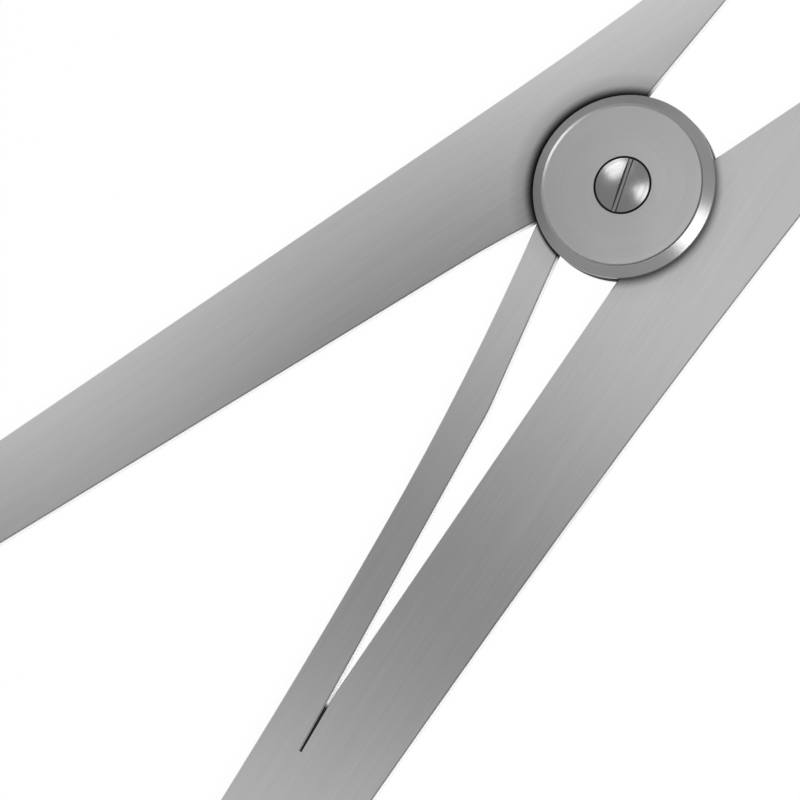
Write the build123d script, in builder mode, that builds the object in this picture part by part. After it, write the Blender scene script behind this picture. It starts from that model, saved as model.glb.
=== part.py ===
from build123d import *
from math import atan, atan2, cos, degrees, hypot, radians, sin, sqrt, tan
import os

# Jeweller's spring caliper of flat spring steel, lying on its back.
# The pivot axis is Z, the jaws point along +X and the scale lies at -X.
# The pointer leg is on the +Y side, and the scale leg on the -Y side.
# An edge is given by its height, the Y where it crosses the pivot's axis, and its slope in degrees.

# Heights, from the bench up
washer_thick = 0.70
shim_thick = 0.10
leg_thick = 0.70
leg_z = washer_thick + shim_thick
lap_z = leg_z + leg_thick / 2
leg_top = leg_z + leg_thick
front_z = leg_top + shim_thick

# Pivot washers, with a broad polished chamfer round the outside
washer_radius = 6.35
chamfer_width = 0.80
chamfer_height = 0.47
lip_width = 0.03
lip_slope = 0.10
face_drop = 0.045
shim_radius = 5.60
head_radius = 1.885
head_gap = 0.14
recess_depth = 0.38
head_crown = 0.07
slot_width = 0.36
slot_depth = 0.20
slot_turn = 29.0

# Pivot post, tapped for the screw, and the half-lapped hubs that turn on it
post_radius = 1.60
screw_radius = 1.00
thread_gap = 0.03
post_floor = 0.25
running_gap = 0.03
hub_radius = 4.00
hub_gap = 0.15

# Pointer leg
pointer_outer_height = 10.49
pointer_outer_slope = -10.6
pointer_inner_height = 1.58
pointer_inner_slope = -13.6
pointer_flare_x = -12.0
pointer_neck = (-5.90, 2.76)
pointer_neck_slope = -16.5
pointer_taper = 9.0
pointer_tip_width = 0.30
pointer_tip_thick = 0.28

# Scale leg
scale_outer_height = -10.50
scale_outer_slope = 11.75
scale_outer_bend_x = -34.0
scale_inner_height = -3.38
scale_inner_slope = 12.4
scale_left_height = 1.62
scale_left_slope = 15.2
scale_left_bend_x = -46.2
scale_end_round = 1.2

# Spring tongue, slit from the scale leg's inner side
tongue_under_height = 0.86
tongue_under_slope = 18.1
tongue_root_x = -37.5
tongue_root_width = 2.80
tongue_mid = (-27.37, -5.42)
tongue_kink_x = -17.0
tongue_kink_slope = 23.6
tongue_kink_round = 14.0
tongue_tip = (-5.63, 2.76)
tongue_tip_round = 0.40
slit_end_x = -41.9
slit_end_width = 0.10

# Jaws
jaw_reach = 30.0
jaw_nib = 0.45
jaw_close_gap = 0.04
jaw_bow_x = 13.0
jaw_inner_bow_x = 15.0
upper_jaw_inner_height = 3.09
upper_jaw_inner_slope = 6.8
upper_jaw_bend_x = -1.0
upper_jaw_outer_y = 8.47
lower_jaw_inner_height = -1.89
lower_jaw_inner_slope = -10.9
lower_jaw_outer_y = -9.30

# Scale arc under the ends of both legs
scale_radius = 90.0
index_gap = 0.90
arc_width = 8.4
arc_overhang = 5.0
arc_relief = 0.04
arc_corner = 1.2
arc_edge = 0.15
arc_screw_radius = 0.60
arc_screw_head = 1.15
arc_screw_spread = 2.1
arc_screw_margin = 0.10
arc_slot_width = 0.26
arc_slot_depth = 0.16
arc_slot_turns = (22.0, 78.0)
arc_seat_inset = 0.40
arc_end_inset = 0.10
leg_end_inset = 0.80

# Broken edges of the legs
leg_edge = 0.08
shortest_broken = 0.60


def on_edge(height, slope, x):
    """Point at x on a straight edge."""
    return (x, height + x * tan(radians(slope)))


def at_radius(height, slope, radius, side=-1):
    """Point on a straight edge at a distance from the pivot, on its left, or with side=1 on its right."""
    m = tan(radians(slope))
    x = (-height * m + side * sqrt(radius**2 * (1 + m**2) - height**2)) / (1 + m**2)
    return (x, height + m * x)


def middle(first, second):
    """Height and slope of the line midway between two edges."""
    rise = (tan(radians(first[1])) + tan(radians(second[1]))) / 2
    return ((first[0] + second[0]) / 2, degrees(atan(rise)))


def heading(slope):
    """Unit vector that points right along a slope."""
    return (cos(radians(slope)), sin(radians(slope)))


def polar(point):
    """Angle of a point about the pivot, from 0 to 360 degrees."""
    return degrees(atan2(point[1], point[0])) % 360


def shifted(point, slope, along, across):
    """Point moved along a slope and square to it."""
    u, v = heading(slope)
    return (point[0] + along * u - across * v, point[1] + along * v + across * u)


def foot(point, start, slope):
    """Foot of the perpendicular from a point to the line that leaves start along a slope."""
    u, v = heading(slope)
    return shifted(start, slope, (point[0] - start[0]) * u + (point[1] - start[1]) * v, 0)


def rim_edges(part):
    """Outline edges of the top and bottom faces to break, clear of the hub and the tongue's root."""
    faces = part.faces().sort_by(Axis.Z)
    edges = faces[-1].outer_wire().edges() + faces[0].outer_wire().edges()
    return edges.filter_by(
        lambda edge: edge.length > shortest_broken
        and hypot(edge.center().X, edge.center().Y) > hub_radius + hub_gap
        and hypot(edge.center().X - root_middle[0], edge.center().Y - root_middle[1]) > leg_edge
    )


# Straight edges of the legs, each a height and a slope
pointer_outer = (pointer_outer_height, pointer_outer_slope)
pointer_inner = (pointer_inner_height, pointer_inner_slope)
pointer_middle = middle(pointer_outer, pointer_inner)
upper_jaw_inner = (upper_jaw_inner_height, upper_jaw_inner_slope)
scale_outer = (scale_outer_height, scale_outer_slope)
scale_left = (scale_left_height, scale_left_slope)
scale_middle = middle(scale_outer, scale_left)
scale_inner = (scale_inner_height, scale_inner_slope)
lower_jaw_inner = (lower_jaw_inner_height, lower_jaw_inner_slope)
tongue_under = (tongue_under_height, tongue_under_slope)
left_bend = on_edge(*scale_left, scale_left_bend_x)

# Ends of the legs on the scale, and the edges' ends just inside the hub
pointer_radius = scale_radius - index_gap
pointer_tip = at_radius(*pointer_middle, pointer_radius)
scale_end_radius = scale_radius + arc_width / 2 - leg_end_inset
arc_screw_places = [at_radius(*scale_middle, scale_radius + step) for step in (-arc_screw_spread, arc_screw_spread)]
hub_inside = hub_radius - hub_gap

# The tongue's root, where it bends, and the slit's mouth beside it
tongue_root = on_edge(*tongue_under, tongue_root_x)
tongue_shoulder = shifted(tongue_root, tongue_under_slope, 0, tongue_root_width)
root_middle = shifted(tongue_root, tongue_under_slope, 0, tongue_root_width / 2)
slit_end = on_edge(*tongue_under, slit_end_x)

with BuildPart() as pointer_leg:
    with BuildSketch(Plane.XY.offset(leg_z)):
        with BuildLine():
            shoulder_in = at_radius(*pointer_inner, pointer_radius - pointer_taper)
            shoulder_out = at_radius(*pointer_outer, pointer_radius - pointer_taper)
            tip_in = shifted(pointer_tip, pointer_middle[1], 0, -pointer_tip_width / 2)
            tip_out = shifted(pointer_tip, pointer_middle[1], 0, pointer_tip_width / 2)
            flare = on_edge(*pointer_inner, pointer_flare_x)
            neck_height = pointer_neck[1] - pointer_neck[0] * tan(radians(pointer_neck_slope))
            neck_end = at_radius(neck_height, pointer_neck_slope, hub_inside)
            jaw_start = at_radius(*upper_jaw_inner, hub_inside, side=1)
            inner_bow = on_edge(*upper_jaw_inner, jaw_inner_bow_x)
            outer_bend = on_edge(*pointer_outer, upper_jaw_bend_x)
            outer_bow = (jaw_bow_x, upper_jaw_outer_y)
            nib_in = (jaw_reach - jaw_nib, jaw_close_gap / 2)
            nib_out = (jaw_reach, jaw_close_gap / 2)
            Polyline(outer_bend, shoulder_out, tip_out, tip_in, shoulder_in, flare)
            TangentArc(flare, pointer_neck, tangent=heading(pointer_inner_slope))
            Polyline(pointer_neck, neck_end, jaw_start, inner_bow)
            TangentArc(inner_bow, nib_in, tangent=heading(upper_jaw_inner_slope))
            Line(nib_in, nib_out)
            outer_arc = TangentArc(outer_bend, outer_bow, tangent=heading(pointer_outer_slope))
            TangentArc(outer_bow, nib_out, tangent=outer_arc % 1)
        make_face()
    extrude(amount=leg_thick)
    with BuildSketch(Plane.XY.offset(leg_z)):
        Circle(hub_radius + hub_gap)
    extrude(amount=leg_thick / 2, mode=Mode.SUBTRACT)
    with BuildSketch(Plane.XY.offset(lap_z)):
        Circle(hub_radius)
    extrude(amount=leg_thick / 2)
    chamfer(rim_edges(pointer_leg), leg_edge)
    with Locations((0, 0, leg_top)):
        Hole(post_radius + running_gap)
    taper_start = at_radius(*pointer_middle, pointer_radius - pointer_taper)
    u, v = heading(pointer_middle[1])
    taper_plane = Plane((*taper_start, leg_top), (-u, -v, 0), (-v, u, 0))
    taper_run = pointer_taper + pointer_tip_width
    with BuildSketch(taper_plane):
        Polygon((0, 0), (taper_run, 0), (taper_run, pointer_tip_thick - leg_thick), align=None)
    extrude(amount=pointer_taper, both=True, mode=Mode.SUBTRACT)
pointer_leg.part.label = "pointer_leg"

with BuildPart() as scale_leg:
    with BuildSketch(Plane.XY.offset(leg_z)) as scale_outline:
        with BuildLine():
            end_out = at_radius(*scale_outer, scale_end_radius)
            end_mid = at_radius(*scale_middle, scale_end_radius)
            end_in = at_radius(*scale_left, scale_end_radius)
            slit_floor = shifted(slit_end, tongue_under_slope, 0, -slit_end_width)
            mouth = on_edge(*scale_inner, tongue_root_x)
            neck_end = at_radius(*scale_inner, hub_inside)
            jaw_start = at_radius(*lower_jaw_inner, hub_inside, side=1)
            inner_bow = on_edge(*lower_jaw_inner, jaw_inner_bow_x)
            outer_bend = on_edge(*scale_outer, scale_outer_bend_x)
            outer_bow = (jaw_bow_x, lower_jaw_outer_y)
            nib_in = (jaw_reach - jaw_nib, -jaw_close_gap / 2)
            nib_out = (jaw_reach, -jaw_close_gap / 2)
            ThreePointArc(end_out, end_mid, end_in)
            Line(end_in, left_bend)
            TangentArc(left_bend, tongue_shoulder, tangent=heading(scale_left_slope))
            Polyline(tongue_shoulder, tongue_root, slit_end, slit_floor, mouth, neck_end, jaw_start, inner_bow)
            TangentArc(inner_bow, nib_in, tangent=heading(lower_jaw_inner_slope))
            Line(nib_in, nib_out)
            outer_arc = TangentArc(outer_bend, outer_bow, tangent=heading(scale_outer_slope))
            TangentArc(outer_bow, nib_out, tangent=outer_arc % 1)
            Line(outer_bend, end_out)
        make_face()
        fillet(scale_outline.vertices().sort_by(Axis.X)[:2], scale_end_round)
    extrude(amount=leg_thick)
    with BuildSketch(Plane.XY.offset(lap_z)):
        Circle(hub_radius + hub_gap)
    extrude(amount=leg_thick / 2, mode=Mode.SUBTRACT)
    with BuildSketch(Plane.XY.offset(leg_z)):
        Circle(hub_radius)
    extrude(amount=leg_thick / 2)
    chamfer(rim_edges(scale_leg), leg_edge)
    with Locations((0, 0, leg_top)):
        Hole(post_radius + running_gap)
    with Locations([(x, y, leg_top) for x, y in arc_screw_places]):
        CounterSinkHole(arc_screw_radius + thread_gap, arc_screw_head + thread_gap)
scale_leg.part.label = "scale_leg"

with BuildPart() as spring_tongue:
    with BuildSketch(Plane.XY.offset(leg_z)) as tongue_outline:
        with BuildLine():
            kink = on_edge(*tongue_under, tongue_kink_x)
            leg_side = TangentArc(left_bend, tongue_shoulder, tangent=heading(scale_left_slope), mode=Mode.PRIVATE)
            back = TangentArc(tongue_shoulder, tongue_mid, tangent=leg_side % 1)
            back_end = TangentArc(tongue_mid, tongue_tip, tangent=back % 1)
            tip_under = foot(tongue_tip, kink, tongue_kink_slope)
            Line(tongue_tip, tip_under)
            FilletPolyline(tip_under, kink, tongue_root, radius=tongue_kink_round)
            Line(tongue_root, tongue_shoulder)
        make_face()
        fillet(tongue_outline.vertices().sort_by_distance(tongue_tip)[:2], tongue_tip_round)
    extrude(amount=leg_thick)
    chamfer(rim_edges(spring_tongue), leg_edge)
spring_tongue.part.label = "spring_tongue"

# Front washer, dished for the screw's head
with BuildPart() as front_washer:
    with BuildSketch(Plane.XZ):
        with BuildLine():
            Polyline(
                (screw_radius + thread_gap, front_z),
                (washer_radius, front_z),
                (washer_radius, front_z + washer_thick - chamfer_height),
                (washer_radius - chamfer_width, front_z + washer_thick),
                (washer_radius - chamfer_width - lip_width, front_z + washer_thick),
                (washer_radius - chamfer_width - lip_width - lip_slope, front_z + washer_thick - face_drop),
                (head_radius + head_gap, front_z + washer_thick - face_drop),
                (head_radius + head_gap, front_z + washer_thick - recess_depth),
                (screw_radius + thread_gap, front_z + washer_thick - recess_depth),
                close=True,
            )
        make_face()
    revolve(axis=Axis.Z)
front_washer.part.label = "front_washer"

with BuildPart() as back_washer:
    with BuildSketch(Plane.XZ):
        with BuildLine():
            Polyline(
                (post_radius + thread_gap, washer_thick),
                (washer_radius, washer_thick),
                (washer_radius, chamfer_height),
                (washer_radius - chamfer_width, 0),
                (head_radius + head_gap, 0),
                (head_radius + head_gap, recess_depth),
                (post_radius + thread_gap, recess_depth),
                close=True,
            )
        make_face()
    revolve(axis=Axis.Z)
back_washer.part.label = "back_washer"

# Thin shims that the legs slide on
with BuildPart() as front_shim:
    with BuildSketch(Plane.XY.offset(leg_top)):
        Circle(shim_radius)
        Circle(post_radius + running_gap, mode=Mode.SUBTRACT)
    extrude(amount=shim_thick)
front_shim.part.label = "front_shim"

with BuildPart() as back_shim:
    with BuildSketch(Plane.XY.offset(washer_thick)):
        Circle(shim_radius)
        Circle(post_radius + running_gap, mode=Mode.SUBTRACT)
    extrude(amount=shim_thick)
back_shim.part.label = "back_shim"

# Flanged post, open at the front for the screw
with BuildPart() as pivot_post:
    with BuildSketch():
        Circle(head_radius)
    extrude(amount=recess_depth)
    with BuildSketch():
        Circle(post_radius)
    extrude(amount=front_z)
    with BuildSketch(Plane.XY.offset(post_floor)):
        Circle(screw_radius + thread_gap)
    extrude(amount=front_z - post_floor, mode=Mode.SUBTRACT)
pivot_post.part.label = "pivot_post"

with BuildPart() as pivot_screw:
    with BuildSketch(Plane.XZ):
        with BuildLine():
            head_top = front_z + washer_thick
            Polyline(
                (0, head_top + head_crown),
                (0, post_floor + thread_gap),
                (screw_radius, post_floor + thread_gap),
                (screw_radius, head_top - recess_depth),
                (head_radius, head_top - recess_depth),
                (head_radius, head_top - head_crown),
            )
            TangentArc((0, head_top + head_crown), (head_radius, head_top - head_crown), tangent=(1, 0))
        make_face()
    revolve(axis=Axis.Z)
    with BuildSketch(Plane.XY.offset(head_top + head_crown)):
        Rectangle(3 * head_radius, slot_width, rotation=slot_turn)
    extrude(amount=-slot_depth - head_crown, mode=Mode.SUBTRACT)
pivot_screw.part.label = "pivot_screw"

# Graduated arc, relieved where the pointer leg sweeps over it
with BuildPart() as scale_arc:
    arc_start = polar(pointer_tip) - degrees(arc_overhang / scale_radius)
    arc_end = polar(at_radius(*scale_outer, scale_radius)) - degrees(arc_end_inset / scale_radius)
    seat_start = polar(at_radius(*scale_left, scale_radius)) + degrees(arc_seat_inset / scale_radius)
    with BuildSketch():
        with BuildLine():
            outer_arc = CenterArc((0, 0), scale_radius + arc_width / 2, arc_start, arc_end - arc_start)
            inner_arc = CenterArc((0, 0), scale_radius - arc_width / 2, arc_start, arc_end - arc_start)
            Line(outer_arc @ 0, inner_arc @ 0)
            Line(outer_arc @ 1, inner_arc @ 1)
        make_face()
    extrude(amount=leg_z)
    fillet(scale_arc.edges().filter_by(Axis.Z), arc_corner)
    chamfer(scale_arc.faces().sort_by(Axis.Z)[-1].edges(), arc_edge)
    with BuildSketch(Plane.XY.offset(leg_z)):
        with BuildLine():
            sweep_out = CenterArc((0, 0), scale_radius + arc_width, arc_start, seat_start - arc_start)
            sweep_in = CenterArc((0, 0), scale_radius - arc_width, arc_start, seat_start - arc_start)
            Line(sweep_out @ 0, sweep_in @ 0)
            Line(sweep_out @ 1, sweep_in @ 1)
        make_face()
    extrude(amount=-arc_relief, mode=Mode.SUBTRACT)
    with Locations([(x, y, leg_z) for x, y in arc_screw_places]):
        Hole(arc_screw_radius + thread_gap)
scale_arc.part.label = "scale_arc"

# Two countersunk screws hold the arc under the scale leg
arc_screws = []
for name, place, turn in zip(("arc_screw_inner", "arc_screw_outer"), arc_screw_places, arc_slot_turns):
    with BuildPart() as arc_screw:
        with BuildSketch(Plane.XZ.offset(-place[1])):
            with BuildLine():
                Polyline(
                    (place[0], arc_screw_margin),
                    (place[0] + arc_screw_radius, arc_screw_margin),
                    (place[0] + arc_screw_radius, leg_top - arc_screw_head + arc_screw_radius),
                    (place[0] + arc_screw_head, leg_top),
                    (place[0], leg_top),
                    close=True,
                )
            make_face()
        revolve(axis=Axis((place[0], place[1], 0), (0, 0, 1)))
        with BuildSketch(Plane.XY.offset(leg_top)):
            with Locations(place):
                Rectangle(3 * arc_screw_head, arc_slot_width, rotation=turn)
        extrude(amount=-arc_slot_depth, mode=Mode.SUBTRACT)
    arc_screw.part.label = name
    arc_screws.append(arc_screw)

os.makedirs("parts", exist_ok=True)
export_step(scale_leg.part, "parts/scale_leg.step")
export_step(spring_tongue.part, "parts/spring_tongue.step")
export_step(pointer_leg.part, "parts/pointer_leg.step")
export_step(scale_arc.part, "parts/scale_arc.step")
export_step(front_washer.part, "parts/front_washer.step")
export_step(back_washer.part, "parts/back_washer.step")
export_step(front_shim.part, "parts/front_shim.step")
export_step(back_shim.part, "parts/back_shim.step")
export_step(pivot_post.part, "parts/pivot_post.step")
export_step(pivot_screw.part, "parts/pivot_screw.step")
for arc_screw in arc_screws:
    export_step(arc_screw.part, f"parts/{arc_screw.part.label}.step")
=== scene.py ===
from math import asin, cos, pi, radians, sin

import bmesh
import bpy
from bpy.props import FloatProperty, FloatVectorProperty, IntProperty, PointerProperty
from mathutils import Matrix, Vector


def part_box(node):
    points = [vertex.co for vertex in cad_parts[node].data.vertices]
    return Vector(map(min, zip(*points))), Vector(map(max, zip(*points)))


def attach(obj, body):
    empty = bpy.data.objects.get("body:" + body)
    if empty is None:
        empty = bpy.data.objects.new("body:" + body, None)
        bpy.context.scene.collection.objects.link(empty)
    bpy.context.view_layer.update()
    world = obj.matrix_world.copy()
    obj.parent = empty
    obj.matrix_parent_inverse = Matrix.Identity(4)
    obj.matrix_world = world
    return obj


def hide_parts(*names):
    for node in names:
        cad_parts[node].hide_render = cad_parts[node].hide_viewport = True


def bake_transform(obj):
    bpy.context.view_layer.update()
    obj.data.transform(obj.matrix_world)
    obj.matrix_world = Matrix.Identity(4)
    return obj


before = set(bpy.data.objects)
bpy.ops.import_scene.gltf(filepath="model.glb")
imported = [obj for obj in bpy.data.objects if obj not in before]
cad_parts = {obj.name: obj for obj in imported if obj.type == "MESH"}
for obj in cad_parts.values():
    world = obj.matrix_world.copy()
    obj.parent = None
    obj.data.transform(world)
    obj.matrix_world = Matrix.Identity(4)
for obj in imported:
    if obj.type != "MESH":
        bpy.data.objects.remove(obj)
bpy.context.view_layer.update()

bl_info = {
    "name": "Jeweller's Spring Caliper",
    "version": (1, 0, 0),
    "blender": (4, 5, 0),
    "location": "3D View > Sidebar > Caliper",
    "description": "Steel finishes, turned parts, scale marks and studio stage of a flat spring caliper",
    "category": "Object",
}

MM = 0.001
FRONT_LOW, FRONT_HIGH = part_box("front_washer")
BACK_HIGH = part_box("back_washer")[1]
SCREW_LOW, SCREW_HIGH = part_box("pivot_screw")
LEG_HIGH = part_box("pointer_leg")[1]
PIVOT = Vector((0, 0, LEG_HIGH.z))

# Descriptions that several settings share
# The first describes painted light and shade that changes slowly over a piece
PAINTED_LIGHT_ABOUT = "Middle tone, its change along the piece, and across it per millimetre"
# The next two describe the painted shadow round the washer
PAINTED_SHADOW_SPAN = "Where the oil starts to thin out, and its end, from the washer's rim"
PAINTED_SHADOW_TONE = "Tone of the oil, and of the haze round it"

# Meshes
WELD = 0.0002 * MM
TONGUE_WELD = 0.0005 * MM
CUT_WELD = 0.0001 * MM
LEVEL_WITHIN = 0.001 * MM
FLOOR_WITHIN = 0.002 * MM
CRISP = radians(10)
TONGUE_CRISP = radians(1)
RING_LEAN = radians(15)
DOME_STEPS = 10
ROUND_STEPS = 2
BASE_LINE_STEPS = 90

# The arc's scale: its face below the arc's top, its finest step, and a font's size for a numeral's height
SCALE_FACE_DROP = 0.04 * MM
TENTH = 0.1 * MM
FONT_TO_NUMERAL = 1.4

# Where the noise textures' levels lie, and how far the painted light and shade may go
NOISE_SPAN = (0.3, 0.7)
PAINTED_LIGHT_SPAN = (0.55, 1.35)

# The patterns. A layer of brushed lines has its fineness, stretch, detail and weight, a layer of rings its
# fineness, unevenness and weight, and a scratch its turn and seed. The leans are upward parts of a normal.
GRAIN_LAYERS = ((1.0, 0.012, 2.0, 0.45), (0.31, 0.010, 2.0, 0.35), (0.07, 0.06, 1.0, 0.20))
RING_LAYERS = ((1.0, 0.9, 0.6), (0.22, 0.6, 0.4))
SCRATCHES = ((0.5, 3.0), (-0.9, 11.0))
SCRATCH_STRETCH = (0.35, 26.0, 1.0)
SCRATCH_SPAN = (0.735, 0.78)
UPRIGHT_LEAN = (0.3, 0.6)
FLAT_LEAN = (0.8, 0.98)
PAINT_GRAIN = 9000.0
PAINT_TONE = (0.75, 1.35)
PAINT_ROUGHNESS = 0.08

# Width and depth of a finish's lines
FACE_LINES = (0.05 * MM, 0.00015 * MM)
CHAMFER_LINES = (0.03 * MM, 0.0001 * MM)
RIM_LINES = (0.05 * MM, 0.0003 * MM)
POST_LINES = (0.04 * MM, 0.001 * MM)
SCREW_LINES = (0.04 * MM, 0.00004 * MM)
ARC_SCREW_LINES = (0.04 * MM, 0.0008 * MM)
SHIM_LINES = (0.06 * MM, 0.001 * MM)
ARC_LINE_WIDTH = 0.07 * MM

# Colour and roughness of the plain finishes; the front washer's rim is a darker copy of the washer steel,
# painted shade, and the back washer's rim a lighter one, painted light
SHIM = ((0.2, 0.2, 0.2), 0.4)
FRONT_RIM_PAINTED_SHADE = ((0.42, 0.42, 0.42), 0.45)
BACK_RIM_PAINTED_LIGHT = ((0.8, 0.8, 0.8), 0.3)
# Near black that paints shade into the recess, the slot and round the screw's head
PAINTED_SHADE_BLACK = ((0.016, 0.016, 0.016), 0.6)
SCALE_BLACK = ((0.012, 0.012, 0.012), 0.5)
POST_ROUGHNESS = 0.3
POST_ANISOTROPY = 0.6
ARC_SCREW_ROUGHNESS = 0.25

# How strong the lines and the handling marks are
LINE_TONE = 0.06
LEG_LINE_TONE = 0.024
FACE_LINE_TONE = 0.03
FINE_LINE_TONE = 0.02
LINE_ROUGHNESS = 0.06
FINE_LINE_ROUGHNESS = 0.02
SMUDGE = 0.03
SCRATCH = 0.10
EDGE_ROUGHNESS_SHARE = 0.3
QUARTER_TURN = 0.25
LEG_MARKS = 0.5
WASHER_MARKS = 0.4

# The materials of a turned washer, by their place in its list
FACE, CHAMFER, RECESS, RIM, LIP = range(5)

# The stage; a light has a turn from the near side and a height in degrees, its distance and sides in metres
PHOTO_SIDE = 800
SENSOR = 36.0
CLIP_START, CLIP_END = 0.01, 20
FLOOR_SIZE = 4.0
FLOOR_DROP = 0.01 * MM
FLOOR_ROUGHNESS = 0.9
GLOW_SHARE = 0.92
SIDE_TO_FAR = (0.38, 0.85)
LOW_TO_OVERHEAD = (0.46, 0.64)
LIGHTS = (
    ("key", 13, 51, 0.32, (0.165, 0.15)),
    ("top", 141, 80.7, 0.4, (0.066, 0.066)),
    ("far", 168, 58, 0.4, (0.08, 0.07)),
)


def size_prop(name, about, millimetres, lowest=0.0):
    """Setting of a length, given in millimetres"""
    return FloatProperty(name=name, description=about, default=millimetres * MM, min=lowest, unit="LENGTH")


def lengths_prop(name, about, millimetres, subtype="NONE"):
    """Setting of lengths or of a place, given in millimetres"""
    return FloatVectorProperty(
        name=name, description=about, default=[value * MM for value in millimetres], size=len(millimetres),
        subtype=subtype, unit="LENGTH")


def angle_prop(name, about, degrees):
    """Setting of an angle, given in degrees"""
    return FloatProperty(
        name=name, description=about, default=radians(degrees), subtype="ANGLE", unit="ROTATION")


def grey_prop(name, about, level):
    """Setting of a grey"""
    return FloatVectorProperty(
        name=name, description=about, default=(level, level, level), min=0, max=1, subtype="COLOR")


def share_prop(name, about, default, highest=1.0):
    """Setting of a share, or of a level that may pass 1"""
    return FloatProperty(name=name, description=about, default=default, min=0, max=highest, subtype="FACTOR")


def tones_prop(name, about, default):
    """Setting of tones, or of a tone and its changes"""
    return FloatVectorProperty(
        name=name, description=about, default=default, size=len(default), soft_min=0, soft_max=1)


def power_prop(name, about, watts):
    """Setting of a light's power"""
    return FloatProperty(name=name, description=about, default=watts, min=0, unit="POWER")


class CaliperSteelSettings(bpy.types.PropertyGroup):
    """Colours and grain of the steel"""

    leg_colour: grey_prop("Leg colour", "Bare steel of the legs and the tongue", 0.74)
    leg_roughness: share_prop("Leg roughness", "How satin the legs are", 0.7)
    arc_colour: grey_prop("Arc colour", "Satin steel of the graduated arc", 0.50)
    arc_roughness: share_prop("Arc roughness", "How satin the arc is", 0.33)
    grain_width: size_prop("Grain width", "Width of one brushed line", 0.06)
    grain_depth: size_prop("Grain depth", "Depth of the brushed lines", 0.0005)
    pointer_grain_turn: angle_prop("Pointer leg grain", "Turn of the brushed lines on the pointer leg", -12.1)
    scale_grain_turn: angle_prop(
        "Scale leg grain", "Turn of the brushed lines on the scale leg and its tongue", 13.5)
    washer_colour: grey_prop("Washer colour", "Steel of the washers, the post and the arc's screws", 0.52)
    lip_colour: grey_prop("Lip colour", "Slope inside the front washer's chamfer", 0.52)
    lip_roughness: share_prop("Lip roughness", "Polish of the slope inside the chamfer", 0.30)
    screw_colour: grey_prop("Screw colour", "Polished steel of the pivot screw's head", 0.37)
    washer_roughness: share_prop("Washer roughness", "How satin the turned face is", 0.38)
    chamfer_roughness: share_prop("Chamfer roughness", "Polish of the washers' chamfers", 0.36)
    screw_roughness: share_prop("Screw roughness", "Polish of the pivot screw's head", 0.17)
    # Painted shade on the legs' chamfered edges and painted light on their side walls
    edge_tone: share_prop("Edge tone", "Tone of the legs' chamfered edges as a share of their faces'", 0.7)
    wall_tone: share_prop(
        "Wall tone", "Tone of the legs' ground side walls as a share of their faces'", 1.35, highest=2.0)
    # Painted light and shade along and across the legs
    pointer_drift: tones_prop("Pointer leg drift", PAINTED_LIGHT_ABOUT, (0.65, 0.08, 0.042))
    pointer_drift_start: size_prop(
        "Pointer leg drift start", "Where along the pointer leg its tone starts to change", 8, lowest=-1.0)
    scale_drift: tones_prop("Scale leg drift", PAINTED_LIGHT_ABOUT, (0.80, 0.19, 0.0))
    scale_drift_start: size_prop(
        "Scale leg drift start", "Where along the scale leg its tone starts to change", -4, lowest=-1.0)
    # Painted light and shade across the washer's face
    washer_drift: tones_prop("Washer drift", PAINTED_LIGHT_ABOUT, (0.97, 0.0, 0.030))
    washer_drift_turn: angle_prop("Washer drift turn", "Turn of the washer's slow change of tone", -111.6)
    leg_anisotropy: share_prop("Leg anisotropy", "Spread of light across the brushed lines", 0.3)
    washer_anisotropy: share_prop("Washer anisotropy", "Spread of light across the washer's rings", 0.0)
    chamfer_anisotropy: share_prop("Chamfer anisotropy", "Spread of light across the chamfer's rings", 0.9)
    screw_anisotropy: share_prop("Screw anisotropy", "Spread of light across the screw head's rings", 0.2)


class CaliperOilSettings(bpy.types.PropertyGroup):
    """Painted shadow round the washers on the legs and the tongue, and painted shade at the end of the slit
    """

    # Painted shadow round the washer; the pointer leg's ring sits off centre, so the shadow is wider on one
    # side
    pointer_oil_span: lengths_prop("Pointer leg oil", PAINTED_SHADOW_SPAN, (-0.10, 0.68))
    pointer_oil_centre: lengths_prop(
        "Pointer leg oil centre", "Middle of the oil ring on the pointer leg", (-0.03, 0.3, 0),
        subtype="TRANSLATION")
    pointer_oil_tone: tones_prop("Pointer leg oil tone", PAINTED_SHADOW_TONE, (0.03, 0.68))
    scale_oil_span: lengths_prop("Scale leg oil", PAINTED_SHADOW_SPAN, (-0.45, 0.55))
    scale_oil_centre: lengths_prop(
        "Scale leg oil centre", "Middle of the oil ring on the scale leg", (-0.14, -0.21, 0),
        subtype="TRANSLATION")
    scale_oil_tone: tones_prop("Scale leg oil tone", PAINTED_SHADOW_TONE, (0.2, 0.9))
    tongue_oil_span: lengths_prop("Tongue oil", PAINTED_SHADOW_SPAN, (0.08, 0.35))
    tongue_oil_tone: tones_prop("Tongue oil tone", PAINTED_SHADOW_TONE, (0.05, 0.9))
    # How far the soft painted shadow reaches
    haze_reach: size_prop("Soft shadow reach", "How far the haze reaches out from the washer's rim", 1.6)
    # Painted shade on the walls near the slit's end, where the narrow slit lies in shade
    slit_span: lengths_prop(
        "Slit grime", "From the slit's end to where its grime thins out, and to its end", (3.4, 3.75))
    slit_tone: share_prop("Slit tone", "Tone of the slit's grimy walls", 0.04)


class CaliperSpringSettings(bpy.types.PropertyGroup):
    """The slit and the bend of the spring tongue"""

    slit_end: lengths_prop(
        "Slit end", "Inner end of the slit in the scale leg", (-41.9, -12.82, LEG_HIGH.z / MM),
        subtype="TRANSLATION")
    root: lengths_prop(
        "Tongue root", "Where the tongue leaves the scale leg", (-37.5, -11.397, 1.15), subtype="TRANSLATION")
    heading: angle_prop("Tongue heading", "Direction of the tongue at its root", 18.1)
    bend_length: size_prop("Bend length", "Length over which the tongue bends", 12)
    cuts: IntProperty(name="Bend steps", description="Steps along the bend", default=10, min=2)


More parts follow.
